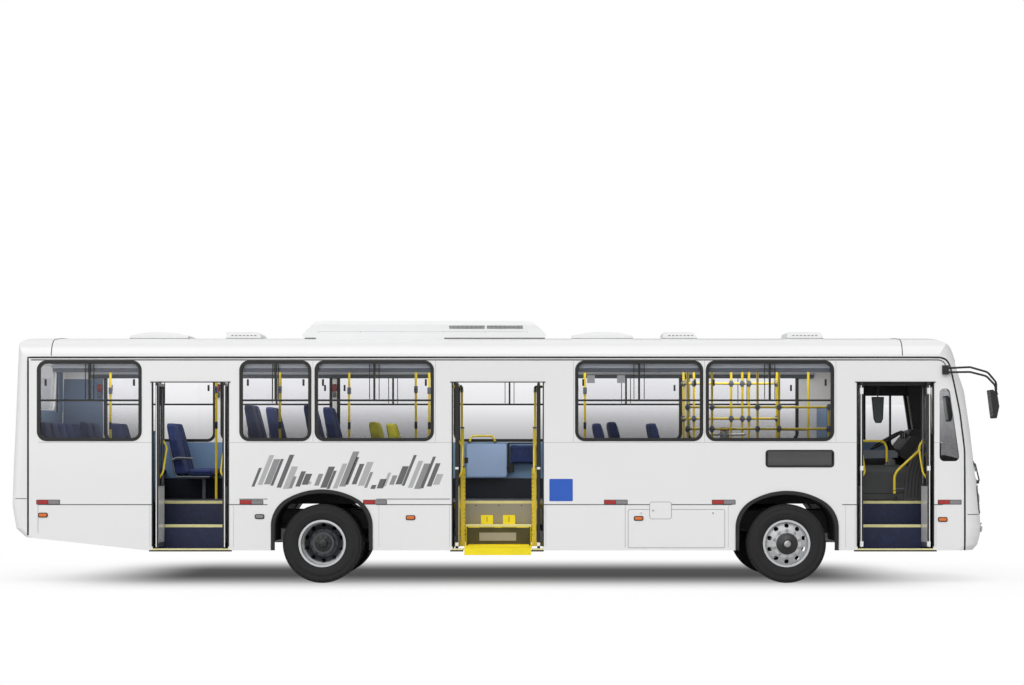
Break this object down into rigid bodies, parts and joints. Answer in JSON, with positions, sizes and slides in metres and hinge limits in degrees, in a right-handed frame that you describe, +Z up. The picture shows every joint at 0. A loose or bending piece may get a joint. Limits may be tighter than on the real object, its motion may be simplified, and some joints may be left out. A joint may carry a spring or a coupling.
{
  "type": "city bus",
  "caption": "Single-deck front-engine city bus with open double doors, a wheelchair lift in the middle doorway, seats, grab rails and a roof air conditioner.",
  "frame": {"origin": "on the ground under the middle of the bounding box", "axes": "+X forward, +Y to the bus's left, +Z up"},
  "size_m": [12.5998, 3.23, 3.3779],
  "materials": {
    "white_paint": "gloss white paint",
    "white_plastic": "moulded glass fibre",
    "blue_seat": "patterned blue upholstered shell",
    "yellow_seat": "patterned yellow shell",
    "chassis_black": "satin black chassis paint",
    "black_plastic": "grained",
    "navy_steps": "studded covering",
    "dark_steel": "as cast",
    "driver_seat_cloth": "woven",
    "engine_metal": "as cast",
    "grey_cover": "grained",
    "floor_grey": "speckled covering",
    "lamp_clear": "clear lens",
    "lamp_red": "red lens",
    "yellow_tube": "powder coat",
    "yellow_lift": "powder coat",
    "clear_glass": "clear",
    "tinted_glass": "lightly smoked",
    "light_blue_panel": "laminate",
    "seat_grey": "powder coat",
    "tank_steel": "satin",
    "turnstile_steel": "brushed",
    "turnstile_red": "gloss",
    "black_rubber": "smooth",
    "black_frame": "black anodised",
    "door_frame": "satin",
    "tyre": "rubber",
    "wheel_silver": "silver paint"
  },
  "bodies": {
    "bus": {"air_conditioner": "white_plastic", "axles": "chassis_black", "blue_seats": "blue_seat", "bumpers": "white_paint", "chassis_frame": "chassis_black", "dashboard": "black_plastic", "destination_sign": "black_plastic", "door_steps": "navy_steps", "driveline": "dark_steel", "driver_seat": "driver_seat_cloth", "end_windows": "clear_glass", "engine": "engine_metal", "engine_cover": "grey_cover", "floor": "floor_grey", "floor_bearers": "chassis_black", "front_cap": "white_paint", "handrails": "yellow_tube", "headlamps": "lamp_clear", "leaf_springs": "chassis_black", "left_side": "white_paint", "lift_masts": "yellow_tube", "mirrors": "black_plastic", "rear_cap": "white_paint", "right_side": "white_paint", "roof": "white_paint", "roof_hatches": "white_plastic", "screens": "light_blue_panel", "seat_stands": "seat_grey", "side_glass": "tinted_glass", "tail_lamps": "lamp_red", "tanks_and_exhaust": "tank_steel", "turnstile_stand": "turnstile_red", "wheel_arches": "black_rubber", "window_frames": "black_frame", "yellow_seats": "yellow_seat"},
    "knuckle_left": {"knuckle_left": "dark_steel"},
    "front_wheel_left": {"front_rim_left": "wheel_silver", "front_tyre_left": "tyre"},
    "rear_wheels_left": {"rear_rims_left": "wheel_silver", "rear_tyres_left": "tyre"},
    "knuckle_right": {"knuckle_right": "dark_steel"},
    "front_wheel_right": {"front_rim_right": "wheel_silver", "front_tyre_right": "tyre"},
    "rear_wheels_right": {"rear_rims_right": "wheel_silver", "rear_tyres_right": "tyre"},
    "rear_door_rear_leaf": {"rear_door_rear_leaf": "door_frame", "rear_door_rear_glass": "clear_glass"},
    "rear_door_front_leaf": {"rear_door_front_leaf": "door_frame", "rear_door_front_glass": "clear_glass"},
    "middle_door_rear_leaf": {"middle_door_rear_leaf": "door_frame", "middle_door_rear_glass": "clear_glass"},
    "middle_door_front_leaf": {"middle_door_front_leaf": "door_frame", "middle_door_front_glass": "clear_glass"},
    "front_door_rear_leaf": {"front_door_rear_leaf": "door_frame", "front_door_rear_glass": "clear_glass"},
    "front_door_front_leaf": {"front_door_front_leaf": "door_frame", "front_door_front_glass": "clear_glass"},
    "lift": {"lift_platform": "yellow_lift"},
    "turnstile": {"turnstile_arms": "turnstile_steel"}
  },
  "joints": [
    {"name": "steer_left", "type": "hinge", "parent": "bus", "child": "knuckle_left", "pos_m": [3.65, 0.93, 0.505], "axis": [0, 0, 1], "range_deg": [-40, 40]},
    {"name": "steer_right", "type": "hinge", "parent": "bus", "child": "knuckle_right", "pos_m": [3.65, -0.93, 0.505], "axis": [0, 0, 1], "range_deg": [-40, 40]},
    {"name": "front_wheel_left_spin", "type": "hinge", "parent": "knuckle_left", "child": "front_wheel_left", "pos_m": [3.65, 1.0875, 0.505], "axis": [0, 1, 0], "continuous": true},
    {"name": "rear_wheels_left_spin", "type": "hinge", "parent": "bus", "child": "rear_wheels_left", "pos_m": [-2.3, 0.925, 0.505], "axis": [0, 1, 0], "continuous": true},
    {"name": "front_wheel_right_spin", "type": "hinge", "parent": "knuckle_right", "child": "front_wheel_right", "pos_m": [3.65, -1.0875, 0.505], "axis": [0, 1, 0], "continuous": true},
    {"name": "rear_wheels_right_spin", "type": "hinge", "parent": "bus", "child": "rear_wheels_right", "pos_m": [-2.3, -0.925, 0.505], "axis": [0, 1, 0], "continuous": true},
    {"name": "rear_door_rear_close", "type": "hinge", "parent": "bus", "child": "rear_door_rear_leaf", "pos_m": [-4.41, -1.205, 1.5], "axis": [0, 0, -1], "range_deg": [0, 90]},
    {"name": "rear_door_front_close", "type": "hinge", "parent": "bus", "child": "rear_door_front_leaf", "pos_m": [-3.553, -1.205, 1.5], "axis": [0, 0, 1], "range_deg": [0, 90]},
    {"name": "middle_door_rear_close", "type": "hinge", "parent": "bus", "child": "middle_door_rear_leaf", "pos_m": [-0.573, -1.205, 1.5], "axis": [0, 0, -1], "range_deg": [0, 90]},
    {"name": "middle_door_front_close", "type": "hinge", "parent": "bus", "child": "middle_door_front_leaf", "pos_m": [0.473, -1.205, 1.5], "axis": [0, 0, 1], "range_deg": [0, 90]},
    {"name": "front_door_rear_close", "type": "hinge", "parent": "bus", "child": "front_door_rear_leaf", "pos_m": [4.607, -1.205, 1.5], "axis": [0, 0, -1], "range_deg": [0, 90]},
    {"name": "front_door_front_close", "type": "hinge", "parent": "bus", "child": "front_door_front_leaf", "pos_m": [5.465, -1.205, 1.5], "axis": [0, 0, 1], "range_deg": [0, 90]},
    {"name": "lift_lower", "type": "slide", "parent": "bus", "child": "lift", "axis": [0, 0, -1], "range_m": [0, 0.35]},
    {"name": "turnstile_spin", "type": "hinge", "parent": "bus", "child": "turnstile", "pos_m": [2.95, -0.13, 1.85], "axis": [0, 0, 1], "continuous": true}
  ],
  "couplings": [
    {"joint": "steer_right", "follows": "steer_left", "ratio": 1},
    {"joint": "rear_door_front_close", "follows": "rear_door_rear_close", "ratio": 1},
    {"joint": "middle_door_front_close", "follows": "middle_door_rear_close", "ratio": 1},
    {"joint": "front_door_front_close", "follows": "front_door_rear_close", "ratio": 1}
  ]
}
